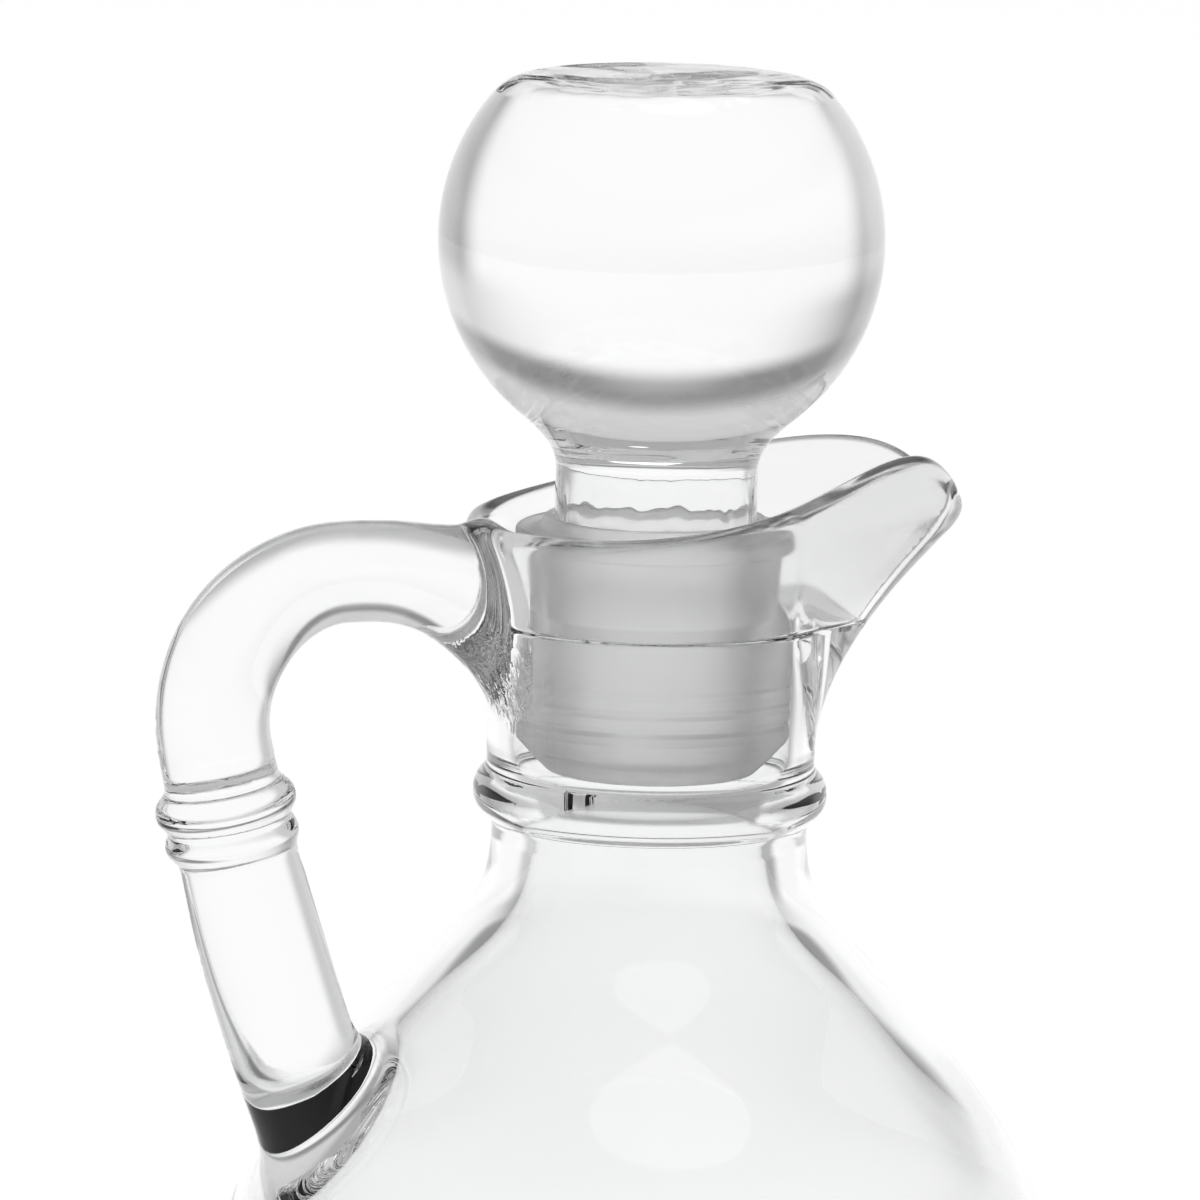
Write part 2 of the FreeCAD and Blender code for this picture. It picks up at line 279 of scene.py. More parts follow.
def inside_radius(z):
    """The rounded floor, the belly, the throat and the tapered bore."""
    corner = arc_radius(z, (FLOOR_R, FLOOR_Z), (28.3, 8.9), (WALL_START_R, WALL_START_Z))
    bore_share = (z - BORE_BOTTOM_Z) / (BORE_TOP_Z - BORE_BOTTOM_Z)
    bore = BORE_BOTTOM_R + (BORE_TOP_R - BORE_BOTTOM_R) * np.clip(bore_share, 0, 1)
    radius = np.where(z < WALL_START_Z, corner, BELLY_INSIDE(z))
    radius = np.where(z > THROAT_Z, THROAT(z), radius)
    return np.where(z > BORE_BOTTOM_Z, bore, radius)


OUTSIDE = Outline(0, BEAD_Z - 1, outside_radius)
INSIDE = Outline(FLOOR_Z, BORE_TOP_Z, inside_radius)


def mouth_distance(x, y, z, cup):
    """Distance to the mouth's outside, or to its hollow one lip wall further in."""
    height = z - BEAD_Z
    round_r, spout_x, tip_r = mouth_profile(height)
    spout_slope = spout_x - mouth_profile(height - 1)[1]
    if cup:
        first = BORE_TOP_Z - BEAD_Z
        round_r = round_r - ease(CUP_WALL, LIP_WALL, (height - first) / 8)
        spout_x = spout_x - LIP_WALL * np.sqrt(1 + spout_slope ** 2)
        tip_r = np.maximum(tip_r - LIP_WALL, LEAST_CUP_TIP_R)
    distance, share = plan_distance(x, y, round_r, spout_x, tip_r)
    slope = spout_slope * share
    return distance / np.sqrt(1 + slope * slope)


def vessel_outside(x, y, z):
    """Distance to the vessel without its hollow: belly, neck, bead, mouth and hollowed foot."""
    rho = np.hypot(x, y)
    mouth_start = BEAD_Z - 4
    below = OUTSIDE.distance(rho, z)
    above = mouth_distance(x, y, np.maximum(z, mouth_start), False)
    side = np.where(z < mouth_start, below, above)
    bead = np.hypot(rho - BEAD_CENTRE_R, z - BEAD_Z + BEAD_DROP) - BEAD_SECTION_R
    side = smooth_min(side, bead, 0.5)
    side = smooth_max(side, -z, 0.6)
    across = rho - (FOOT_INNER_R - FOOT_HOLLOW)
    away = np.hypot(np.maximum(across, 0), np.maximum(z, 0))
    foot = away + np.minimum(np.maximum(across, z), 0) - FOOT_HOLLOW
    return smooth_max(side, -foot, 0.8)


def vessel_hollow(x, y, z):
    """Distance to the hollow: the space for the oil, the bore and the cup of the mouth."""
    rho = np.hypot(x, y)
    side = INSIDE.distance(rho, z)
    floor = FLOOR_Z + FLOOR_RISE * (1 - np.minimum(rho / FLOOR_R, 1) ** 2)
    space = smooth_max(side, floor - z, 1.0)
    space = np.maximum(space, z - BORE_TOP_Z - 1.0)
    cup = smooth_max(mouth_distance(x, y, np.maximum(z, BORE_TOP_Z - 1), True), BORE_TOP_Z - z, 0.5)
    return smooth_min(space, cup, 0.5)


# ---- handle -------------------------------------------------------------------------------

BEND_CENTRE = (BEND_X, ARM_Z - BEND_R)
LEG_START = (
    BEND_CENTRE[0] - BEND_R * math.sin(BEND_SWEEP),
    BEND_CENTRE[1] + BEND_R * math.cos(BEND_SWEEP),
)
LEG_CENTRE = (
    LEG_START[0] + LEG_CURVE_R * math.sin(BEND_SWEEP),
    LEG_START[1] - LEG_CURVE_R * math.cos(BEND_SWEEP),
)
ARM_CENTRE = Curve([
    (BEND_X, 21.7), (-25.5, 21.4), (-21.5, 20.2), (-18.5, 18.8), (ARM_ROOT_X, 17.1),
])
ARM_HALF_HEIGHT = Curve([
    (BEND_X, ARM_R), (-25.5, 4.8), (-21.5, 5.5), (-18.5, 6.7), (ARM_ROOT_X, 8.3),
])


def swept_distance(x, y, z, centre, radius, start, sweep, section):
    """Distance to a round rod along an arc in the XZ plane. section gives its radius by share."""
    turned = np.arctan2(centre[0] - x, z - centre[1])
    turned = np.where(turned < -1.0, turned + 2 * math.pi, turned)
    turned = np.clip(turned, start, start + sweep)
    near_x = centre[0] - radius * np.sin(turned)
    near_z = centre[1] + radius * np.cos(turned)
    rod = section((turned - start) / sweep)
    return np.sqrt((x - near_x) ** 2 + y * y + (z - near_z) ** 2) - rod


def arm_distance(x, y, z):
    """The arm from the bend to the neck: an oval that grows tall where it flows into the neck."""
    inside = np.clip(x, BEND_X, ARM_ROOT_X)
    half_height = ARM_HALF_HEIGHT(inside)
    half_width = ARM_R + ARM_WIDENING * (inside - BEND_X) / (ARM_ROOT_X - BEND_X)
    over = x - inside
    up = z - BEAD_Z - ARM_CENTRE(inside)
    squares = (over / ARM_R) ** 2 + (y / half_width) ** 2 + (up / half_height) ** 2
    steeper = (over / ARM_R ** 2) ** 2 + (y / half_width ** 2) ** 2 + (up / half_height ** 2) ** 2
    first = np.sqrt(squares)
    return first * (first - 1) / np.maximum(np.sqrt(steeper), 1e-6)


def ring_distance(x, y, z, height, radius, depth):
    """A rounded ring on the handle's leg, at a height above the bead."""
    along = (-math.cos(BEND_SWEEP), -math.sin(BEND_SWEEP))
    drop = (LEG_START[1] - BEAD_Z - height) / -along[1]
    centre_x = LEG_START[0] + along[0] * drop
    centre_z = LEG_START[1] + along[1] * drop
    axial = (x - centre_x) * along[0] + (z - centre_z) * along[1]
    radial = np.sqrt(np.maximum((x - centre_x) ** 2 + y * y + (z - centre_z) ** 2 - axial ** 2, 0))
    return np.hypot(radial - radius + depth / 2, axial) - depth / 2


def handle_distance(x, y, z):
    """Distance to the handle: arm, bend and leg, with the rings on its leg."""
    arm = arm_distance(x, y, z)
    bend = swept_distance(
        x, y, z, BEND_CENTRE, BEND_R, 0.0, BEND_SWEEP, lambda share: ease(ARM_R, LEG_R, 1.5 * share)
    )
    leg = swept_distance(
        x, y, z, LEG_CENTRE, LEG_CURVE_R, BEND_SWEEP, LEG_CURVE_SWEEP,
        lambda share: ease(LEG_R, LOWER_LEG_R, 2.0 * share),
    )
    rod = np.minimum(np.minimum(arm, bend), leg)
    for ring in LEG_RINGS:
        rod = smooth_min(rod, ring_distance(x, y, z, *ring), RING_BLEND)
    return rod


def bottle_distance(x, y, z):
    """Distance to the fused glass: negative inside the glass."""
    rim = (z - BEAD_Z - RIM(x) - RIM_RAISE) / math.sqrt(1 + RIM_SLOPE ** 2)
    outside = smooth_max(vessel_outside(x, y, z), rim, RIM_ROUND)
    fuse = ease(LOWER_FUSE, FUSE, (z - FUSE_CHANGE_Z) / FUSE_CHANGE_HEIGHT)
    outside = smooth_min(outside, handle_distance(x, y, z), fuse)
    edge = ease(BORE_EDGE, RIM_ROUND, (z - BORE_TOP_Z - 1) / 4)
    return smooth_max(outside, -vessel_hollow(x, y, z), edge)


# ---- meshes -------------------------------------------------------------------------------

def spaced(low, high, spacing):
    """Places from low to high whose gaps follow spacing(place)."""
    places = [low]
    while places[-1] < high:
        places.append(places[-1] + spacing(places[-1]))
    return np.array(places)


def corner_places(shape, axis):
    """Slices that give the four corners, in order round it, of every grid square across an axis."""
    first, second = [other for other in range(3) if other != axis]
    places = []
    for u, v in ((0, 0), (1, 0), (1, 1), (0, 1)):
        place = [slice(None)] * 3
        place[first] = slice(u, shape[first] - 1 + u)
        place[second] = slice(v, shape[second] - 1 + v)
        places.append(tuple(place))
    return places


def settled(values, rounds=12):
    """Grid values without squares whose corners are in and out by turns, where two sheets of
    surface would share an edge. The corner nearest the surface changes side."""
    values = values.copy()
    for _ in range(rounds):
        changed = 0
        for axis in range(3):
            places = corner_places(values.shape, axis)
            corners = np.stack([values[place] for place in places])
            inside = corners < 0
            turns = (inside[0] == inside[2]) & (inside[1] == inside[3]) & (inside[0] != inside[1])
            nearest = np.abs(corners).argmin(axis=0)
            for number, place in enumerate(places):
                part = values[place]
                chosen = turns & (nearest == number)
                part[chosen] = np.where(part[chosen] < 0, 1e-6, -1e-6)
                changed += int(chosen.sum())
        if changed == 0:
            break
    return values


def surface_mesh(field, xs, ys, zs):
    """The zero surface of a field as a mesh of quads: one point in each grid cell that it
    crosses, then pulled onto the surface. Returns points and faces."""
    grid = np.stack(np.meshgrid(xs, ys, zs, indexing="ij"))
    values = settled(field(*grid))
    cells = tuple(count - 1 for count in values.shape)
    total = np.zeros(cells + (3,))
    count = np.zeros(cells)
    crossings = []
    for axis in range(3):
        low = [slice(None)] * 3
        high = [slice(None)] * 3
        low[axis] = slice(0, -1)
        high[axis] = slice(1, None)
        first, second = values[tuple(low)], values[tuple(high)]
        crossed = (first < 0) != (second < 0)
        index = np.argwhere(crossed)
        a, b = first[crossed], second[crossed]
        share = a / (a - b)
        start = np.stack([xs[index[:, 0]], ys[index[:, 1]], zs[index[:, 2]]], axis=1)
        step = np.zeros_like(start)
        lines = (xs, ys, zs)[axis]
        step[:, axis] = lines[index[:, axis] + 1] - lines[index[:, axis]]
        place = start + step * share[:, None]
        others = [other for other in range(3) if other != axis]
        around = []
        for u, v in ((0, 0), (1, 0), (1, 1), (0, 1)):
            cell = index.copy()
            cell[:, others[0]] -= u
            cell[:, others[1]] -= v
            around.append(cell)
            np.add.at(total, tuple(cell.T), place)
            np.add.at(count, tuple(cell.T), 1)
        crossings.append((around, a < 0, axis))
    number = -np.ones(cells, int)
    used = count > 0
    number[used] = np.arange(used.sum())
    points = total[used] / count[used][:, None]
    faces = []
    for around, leaving, axis in crossings:
        quads = np.stack([number[tuple(cell.T)] for cell in around], axis=1)
        flip = leaving if axis == 1 else ~leaving
        quads[flip] = quads[flip][:, ::-1]
        faces.append(quads)
    return points, np.concatenate(faces)


def gradient(field, points, step=0.02):
    """How steeply the field rises at the points, along each axis."""
    slopes = []
    for axis in range(3):
        offset = np.zeros(3)
        offset[axis] = step
        slopes.append((field(*(points + offset).T) - field(*(points - offset).T)) / (2 * step))
    return np.stack(slopes, axis=1)


def pull_to_surface(field, points, rounds, least_slope=0.05, longest_move=0.4):
    """The points moved onto the field's zero surface by Newton's method."""
    for _ in range(rounds):
        slope = gradient(field, points)
        size = np.maximum((slope ** 2).sum(axis=1), least_slope)
        move = -(field(*points.T) / size)[:, None] * slope
        length = np.linalg.norm(move, axis=1, keepdims=True)
        points = points + move * np.minimum(1, longest_move / np.maximum(length, 1e-9))
    return points


def relaxed(points, faces, strength):
    """Points moved towards the middle of their neighbours, which evens out the faces."""
    total = np.zeros_like(points)
    count = np.zeros(len(points))
    for first, second in ((0, 1), (1, 2), (2, 3), (3, 0)):
        for a, b in ((first, second), (second, first)):
            np.add.at(total, faces[:, a], points[faces[:, b]])
            np.add.at(count, faces[:, a], 1)
    middle = total / count[:, None]
    return points + (middle - points) * strength


def refined(points, faces, chosen):
    """The mesh with the chosen quads split in four. A neighbour of a split edge takes its new
    middle point, so the mesh stays closed."""
    points = [tuple(point) for point in points]
    middles = {}

    def middle(a, b):
        key = (min(a, b), max(a, b))
        if key not in middles:
            middles[key] = len(points)
            points.append(tuple((points[a][i] + points[b][i]) / 2 for i in range(3)))
        return middles[key]

    made = []
    kept = []
    for face, split in zip(faces, chosen):
        if not split or len(face) != 4:
            kept.append(face)
            continue
        sides = [middle(face[i], face[(i + 1) % 4]) for i in range(4)]
        centre = len(points)
        points.append(tuple(sum(points[corner][i] for corner in face) / 4 for i in range(3)))
        made += [(face[i], sides[i], centre, sides[i - 1]) for i in range(4)]
    for face in kept:
        full = []
        for a, b in zip(face, face[1:] + face[:1]):
            full.append(a)
            key = (min(a, b), max(a, b))
            if key in middles:
                full.append(middles[key])
        made.append(tuple(full))
    return np.array(points), made


def new_object(name, points, faces, normals=None):
    """A smooth shaded mesh object from points in millimetres."""
    mesh = bpy.data.meshes.new(name)
    mesh.from_pydata((points * MM).tolist(), [], [list(face) for face in faces])
    mesh.polygons.foreach_set("use_smooth", [True] * len(mesh.polygons))
    mesh.update()
    if normals is not None:
        mesh.normals_split_custom_set_from_vertices(normals.tolist())
    piece = bpy.data.objects.new(name, mesh)
    bpy.context.scene.collection.objects.link(piece)
    return piece


def tight_places(x, y, z, reach):
    """Where the glass turns tightly: at its rim and the step in its mouth, and, less tightly, at
    its bead and the rings on its handle."""
    rho = np.hypot(x, y)
    rim = (np.abs(z - BEAD_Z - RIM(x)) < reach) & (x > -20)
    step = (np.abs(z - BORE_TOP_Z) < reach - 0.8) & (rho < BORE_TOP_R + reach + 1)
    bead = (np.abs(z - BEAD_Z) < reach + 0.8) & (rho > 13.5) & (x > -25)
    rings = (np.abs(z - BEAD_Z + 1) < reach + 1.5) & (x < -30)
    return rim | step, bead | rings


# Grid for the bottle's mesh, finer where the glass is finer: at its mouth, floor and spout.
GRID_LOW = (-50.3, -41.0, -1.21)
GRID_HIGH = (41.0, 41.0, BODY_HIGH[2] + 2)
FOOT_END_Z = 9
MOUTH_GRID_Z = BEAD_Z - 8
REFINEMENTS = ((2.6, True), (2.0, False))


def x_spacing(x):
    return 0.86 if -20 < x < 32 else 1.0


def y_spacing(y):
    return 0.82 if abs(y) < 19.5 else 1.05


def z_spacing(z):
    if z > MOUTH_GRID_Z:
        return 0.64
    return 1.05 if z > FOOT_END_Z else 0.8


def bottle_surface():
    """Points and faces of the fused glass: meshed, evened out, and refined where it is tight."""
    gaps = (x_spacing, y_spacing, z_spacing)
    lines = [spaced(low, high, gap) for low, high, gap in zip(GRID_LOW, GRID_HIGH, gaps)]
    points, faces = surface_mesh(bottle_distance, *lines)
    points = pull_to_surface(bottle_distance, points, 3)
    for _ in range(3):
        points = relaxed(points, faces, 0.5)
        points = pull_to_surface(bottle_distance, points, 2)
    faces = [tuple(face) for face in faces.tolist()]
    for reach, with_rings in REFINEMENTS:
        middles = np.array([points[list(face)].mean(axis=0) for face in faces])
        rim, rings = tight_places(*middles.T, reach)
        points, faces = refined(points, faces, rim | rings if with_rings else rim)
        points = pull_to_surface(bottle_distance, points, 2)
    return points, faces


def make_bottle():
    """The bottle with its handle, shaded by the exact slope of its surface."""
    points, faces = bottle_surface()
    points = pull_to_surface(bottle_distance, points, 2)
    normals = gradient(bottle_distance, points)
    normals /= np.maximum(np.linalg.norm(normals, axis=1, keepdims=True), 1e-9)
    piece = new_object("bottle_glass", points, faces, normals)
    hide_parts("bottle_body", "handle")
    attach(piece, "bottle")
    return piece


def turned_mesh(name, outline, around=160):
    """A mesh turned round the axis from an outline that starts and ends on the axis."""
    points = [(0.0, 0.0, outline[0][1])]
    faces = []
    rings = outline[1:-1]
    for radius, z in rings:
        for step in range(around):
            angle = 2 * math.pi * step / around
            points.append((radius * math.cos(angle), radius * math.sin(angle), z))
    points.append((0.0, 0.0, outline[-1][1]))
    last = len(points) - 1
    for step in range(around):
        after = (step + 1) % around
        faces.append((0, 1 + after, 1 + step))
        for ring in range(len(rings) - 1):
            a = 1 + ring * around
            b = a + around
            faces.append((a + step, a + after, b + after, b + step))
        end = 1 + (len(rings) - 1) * around
        faces.append((last, end + step, end + after))
    return new_object(name, np.array(points), faces)


def bow(first, middle, end, count):
    """Points along an arc through three (r, z) points, without its start."""
    r, z, radius = circle_through(first, middle, end)
    angles = [math.atan2(point[1] - z, point[0] - r) for point in (first, middle, end)]
    turn = (angles[2] - angles[0]) % (2 * math.pi)
    if (angles[1] - angles[0]) % (2 * math.pi) > turn:
        turn -= 2 * math.pi
    passed = [angles[0] + turn * step / count for step in range(1, count + 1)]
    return [(r + radius * math.cos(angle), z + radius * math.sin(angle)) for angle in passed]


def rounded(corners, steps=7):
    """Points along straight lines through (r, z, fillet) corners, with the corners rounded."""
    path = [Vector(corners[0][:2])]
    for before, here, after in zip(corners, corners[1:], corners[2:]):
        corner = Vector(here[:2])
        back = (Vector(before[:2]) - corner).normalized()
        ahead = (Vector(after[:2]) - corner).normalized()
        turn = math.pi - back.angle(ahead)
        reach = here[2] * math.tan(turn / 2)
        centre = corner + (back + ahead).normalized() * here[2] / math.cos(turn / 2)
        start = corner + back * reach - centre
        end = corner + ahead * reach - centre
        for step in range(steps + 1):
            share = step / steps
            arm = start * math.sin((1 - share) * turn) + end * math.sin(share * turn)
            path.append(centre + arm / math.sin(turn))
    path.append(Vector(corners[-1][:2]))
    return with_supports(path)


def with_supports(path, near=0.12):
    """The path with extra points near the ends of its long stretches, so they shade flat."""
    full = [tuple(path[0])]
    for start, end in zip(path, path[1:]):
        length = (end - start).length
        if length > 5 * near:
            full.append(tuple(start.lerp(end, near / length)))
            full.append(tuple(start.lerp(end, 0.5)))
            full.append(tuple(start.lerp(end, 1 - near / length)))
        full.append(tuple(end))
    return full


# ---- stopper ------------------------------------------------------------------------------

STEM_R = 9.35
SHANK_END_R = 8.4
SHANK_END_Z = KNOB_LOW[2]
SLEEVE_TOP_Z = BEAD_Z + 24.6
STEM_TOP_Z = BEAD_Z + 30.0
BALL_START = math.radians(-48)
BALL_END = math.radians(40)
FLAT_R = 13.2
EDGE_MIDDLE = (14.62, BALL_TOP_Z - 0.5)
DISH = 0.8
WAIST_PULL = 8.0
FLANGE_R = SLEEVE_HIGH[0]
COLLAR_R = 11.8
NOSE_R = 9.6
NOSE_END_Z = SLEEVE_LOW[2]
SEAL_END_Z = BEAD_Z + 6.2
HOLE_GAP = 0.05
RIB_COUNT = 3
RIB_DEPTH = 0.3
RIB_PITCH = 1.7
RIB_HALF_WIDTH = 0.45
RIB_START = 1.3
COLLAR_LOW_Z = BEAD_Z + 17
FLANGE_LOW_Z = BEAD_Z + 23.1
STEP_Z = SLEEVE_TOP_Z + 1.0


def ball_point(angle):
    """The (r, z) point of the ball's outline at an angle above its middle."""
    return BALL_R * math.cos(angle), BALL_Z + BALL_R * math.sin(angle)


def waist(steps):
    """Points from the top of the stem to the ball, along a Hermite curve that leaves upright."""
    end = ball_point(BALL_START)
    path = []
    for step in range(1, steps + 1):
        t = step / steps
        to_start = 2 * t ** 3 - 3 * t ** 2 + 1
        to_end = 3 * t ** 2 - 2 * t ** 3
        leave = t ** 3 - 2 * t ** 2 + t
        arrive = t ** 3 - t ** 2
        r = to_start * STEM_R + to_end * end[0] + arrive * WAIST_PULL * -math.sin(BALL_START)
        rise = WAIST_PULL * (leave + arrive * math.cos(BALL_START))
        z = to_start * STEM_TOP_Z + to_end * end[1] + rise
        path.append((r, z))
    return path


def knob_outline():
    """The knob's outline, from the middle of its shank's end up to the middle of its flat top."""
    path = rounded([
        (0, SHANK_END_Z, 0), (SHANK_END_R - 1, SHANK_END_Z, 0.5), (SHANK_END_R, SHANK_END_Z + 1, 0.5),
        (STEM_R, SLEEVE_TOP_Z, 3), (STEM_R, STEM_TOP_Z, 0),
    ])
    path += waist(24)
    ball_steps = 48
    for step in range(1, ball_steps + 1):
        path.append(ball_point(BALL_START + (BALL_END - BALL_START) * step / ball_steps))
    path += bow(path[-1], EDGE_MIDDLE, (FLAT_R, BALL_TOP_Z), 10)
    flat_steps = 32
    for step in range(1, flat_steps + 1):
        r = FLAT_R * (1 - step / flat_steps)
        share = 1 - (r / FLAT_R) ** 2
        path.append((r, BALL_TOP_Z - DISH * share * share))
    return path


def bore_radius(z):
    """Radius of the tapered bore at a height."""
    widening = BORE_TOP_R - BORE_BOTTOM_R
    return BORE_BOTTOM_R + widening * (z - BORE_BOTTOM_Z) / (BORE_TOP_Z - BORE_BOTTOM_Z)


def sleeve_outline():
    """The sleeve's outline, from the middle of its closed end, up its outside and down its hole."""
    seal_low = bore_radius(SEAL_END_Z) - HOLE_GAP
    seal_high = bore_radius(BORE_TOP_Z) - HOLE_GAP
    hole = STEM_R + HOLE_GAP
    corners = [
        (0, NOSE_END_Z, 0), (NOSE_R, NOSE_END_Z, 0.8), (seal_low - 0.3, BEAD_Z + 5.5, 0.5),
        (seal_low, SEAL_END_Z, 0.2),
    ]
    for groove in range(RIB_COUNT):
        middle = SEAL_END_Z + RIB_START + RIB_PITCH * groove
        face = bore_radius(middle) - HOLE_GAP
        corners += [
            (face, middle - RIB_HALF_WIDTH, 0.12), (face - RIB_DEPTH, middle, 0.2),
            (face, middle + RIB_HALF_WIDTH, 0.12),
        ]
    corners += [
        (seal_high, BORE_TOP_Z, 0.3), (COLLAR_R, COLLAR_LOW_Z, 0.4), (COLLAR_R, FLANGE_LOW_Z, 0.3),
        (FLANGE_R, FLANGE_LOW_Z, 0.3), (FLANGE_R, SLEEVE_TOP_Z, 0.45),
        (hole + 1.4, SLEEVE_TOP_Z, 0.3), (hole + 0.8, STEP_Z, 0.3), (hole, STEP_Z, 0.2),
        (hole, SLEEVE_TOP_Z, 0.2), (SHANK_END_R + HOLE_GAP, SHANK_END_Z - HOLE_GAP, 0.3),
        (0, SHANK_END_Z - HOLE_GAP, 0),
    ]
    return rounded(corners)


def make_stopper():
    """The glass knob and its plastic sleeve."""
    knob = turned_mesh("ball_knob", knob_outline())
    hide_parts("stopper_knob")
    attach(knob, "stopper")
    sleeve = turned_mesh("plastic_sleeve", sleeve_outline())
    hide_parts("stopper_sleeve")
    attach(sleeve, "sleeve")
    return knob, sleeve


# ---- materials ----------------------------------------------------------------------------

GLASS_IOR = 1.5
BOTTLE_TINT = 0.976
KNOB_TINT = 0.986
MOUTH_ROUGHNESS = 0.10
# Painted shade: the grey that the spout's glass is tinted, and where along x the grey fades in.
SPOUT_PAINTED_SHADE_COLOUR = (0.918, 0.922, 0.92, 1)
SPOUT_SHADE_X = (2, 17)
FROST = (-17.0, -2.5, BEAD_Z + 11.5)
FROST_FADE = (0.002, 0.0065)
RIPPLE_DEPTH = 0.003
PLASTIC_DARKER = (0.975, 0.975, 0.972, 1)
PLASTIC_PALER = (0.995, 0.995, 0.992, 1)
PLASTIC_ROUGHNESS = (0.42, 0.55)


def new_material(name):
    """A node material, with its nodes and links."""
    material = bpy.data.materials.new(name)
    material.use_nodes = True
    return material, material.node_tree.nodes, material.node_tree.links


def noise(nodes, links, scale, detail, squeeze=(1, 1, 1)):
    """A noise texture in the object's own coordinates."""
    place = nodes.new("ShaderNodeTexCoord")
    mapping = nodes.new("ShaderNodeMapping")
    mapping.inputs["Scale"].default_value = squeeze
    links.new(place.outputs["Object"], mapping.inputs["Vector"])
    texture = nodes.new("ShaderNodeTexNoise")
    texture.inputs["Scale"].default_value = scale
    texture.inputs["Detail"].default_value = detail
    links.new(mapping.outputs["Vector"], texture.inputs["Vector"])
    return texture.outputs["Fac"]


def ranged(nodes, links, value, low, high, start=0.3, end=0.7):
    """A value from start to end turned into low to high."""
    node = nodes.new("ShaderNodeMapRange")
    node.interpolation_type = "SMOOTHSTEP"
    node.inputs["From Min"].default_value = start
    node.inputs["From Max"].default_value = end
    node.inputs["To Min"].default_value = low
    node.inputs["To Max"].default_value = high
    links.new(value, node.inputs["Value"])
    return node.outputs["Result"]


def maths(nodes, links, operation, first, second):
    """A sum or product of two values, each a number or another node's output."""
    node = nodes.new("ShaderNodeMath")
    node.operation = operation
    for socket, value in zip(node.inputs, (first, second)):
        if isinstance(value, (int, float)):
            socket.default_value = value
        else:
            links.new(value, socket)
    return node.outputs["Value"]


def mixed(nodes, links, factor, first, second):
    """A number between first and second."""
    node = nodes.new("ShaderNodeMix")
    links.new(factor, node.inputs["Factor"])
    for name, value in (("A", first), ("B", second)):
        if isinstance(value, (int, float)):
            node.inputs[name].default_value = value
        else:
            links.new(value, node.inputs[name])
    return node.outputs["Result"]


def bump(nodes, links, height, strength, distance, under=None):
    """A bumped normal, on top of another one if it is given."""
    node = nodes.new("ShaderNodeBump")
    node.inputs["Distance"].default_value = distance
    links.new(height, node.inputs["Height"])
    if isinstance(strength, float):
        node.inputs["Strength"].default_value = strength
    else:
        links.new(strength, node.inputs["Strength"])
    if under is not None:
        links.new(under, node.inputs["Normal"])
    return node.outputs["Normal"]


def by_place(nodes, links, axis, low, high, start, end):
    """A value that goes from low to high between two places on an axis, in millimetres."""
    place = nodes.new("ShaderNodeTexCoord")
    split = nodes.new("ShaderNodeSeparateXYZ")
    links.new(place.outputs["Object"], split.inputs["Vector"])
    return ranged(nodes, links, split.outputs[axis], low, high, start * MM, end * MM)


def glass_base(name, tint, waviness):
    """Clear soda glass with faint flow waves and thin smears."""
    material, nodes, links = new_material(name)
    shader = nodes["Principled BSDF"]
    shader.inputs["Base Color"].default_value = (tint - 0.003, tint + 0.002, tint, 1)
    shader.inputs["IOR"].default_value = GLASS_IOR
    shader.inputs["Transmission Weight"].default_value = 1.0
    waves = noise(nodes, links, 70, 1.0, (1, 1, 0.45))
    normal = bump(nodes, links, waves, waviness, 0.0009)
    smears = ranged(nodes, links, noise(nodes, links, 160, 3.0), 0.0, 0.025, 0.5, 0.75)
    return material, nodes, links, shader, normal, smears


def bottle_material():
    """The bottle's glass: softer in its drawn-out mouth, greyed in its spout by painted shade, and
    rough skinned under the arm's root. The softness and the grey were set by eye."""
    material, nodes, links, shader, normal, smears = glass_base(
        "bottle_glass", BOTTLE_TINT, 0.06
    )
    cup = (BORE_TOP_Z, BORE_TOP_Z + 5)
    mouth = by_place(nodes, links, "Z", 0.0, MOUTH_ROUGHNESS, *cup)
    links.new(maths(nodes, links, "ADD", smears, mouth), shader.inputs["Roughness"])
    # Painted shade: the glass above the bore turns grey towards the spout's tip.
    painted_spout_shade = maths(
        nodes, links, "MULTIPLY",
        by_place(nodes, links, "Z", 0.0, 1.0, *cup),
        by_place(nodes, links, "X", 0.0, 1.0, *SPOUT_SHADE_X),
    )
    shade = nodes.new("ShaderNodeMix")
    shade.data_type = "RGBA"
    links.new(painted_spout_shade, shade.inputs["Factor"])
    shade.inputs["A"].default_value = shader.inputs["Base Color"].default_value
    shade.inputs["B"].default_value = SPOUT_PAINTED_SHADE_COLOUR
    links.new(shade.outputs["Result"], shader.inputs["Base Color"])
    apart = nodes.new("ShaderNodeVectorMath")
    apart.operation = "DISTANCE"
    links.new(nodes.new("ShaderNodeTexCoord").outputs["Object"], apart.inputs[0])
    apart.inputs[1].default_value = [value * MM for value in FROST]
    near = ranged(nodes, links, apart.outputs["Value"], 1.0, 0.0, *FROST_FADE)
    grain = noise(nodes, links, 1300, 2.0, (1, 1, 0.6))
    links.new(bump(nodes, links, grain, near, 0.00022, normal), shader.inputs["Normal"])
    return material


def knob_material():
    """The knob's glass: creased in its stem and rippled on its flat top."""
    material, nodes, links, shader, normal, smears = glass_base(
        "knob_glass", KNOB_TINT, 0.05
    )
    links.new(smears, shader.inputs["Roughness"])
    stem = by_place(nodes, links, "Z", 1.0, 0.0, STEM_TOP_Z - 3, STEM_TOP_Z + 3)
    creases = noise(nodes, links, 230, 2.0, (1, 1, 0.35))
    normal = bump(nodes, links, creases, stem, 0.0009, normal)
    top = by_place(nodes, links, "Z", 0.0, 1.0, BALL_TOP_Z - 1.3, BALL_TOP_Z - 0.9)
    ripples = noise(nodes, links, 120, 1.5)
    normal = bump(nodes, links, ripples, top, RIPPLE_DEPTH, normal)
    links.new(normal, shader.inputs["Normal"])
    return material


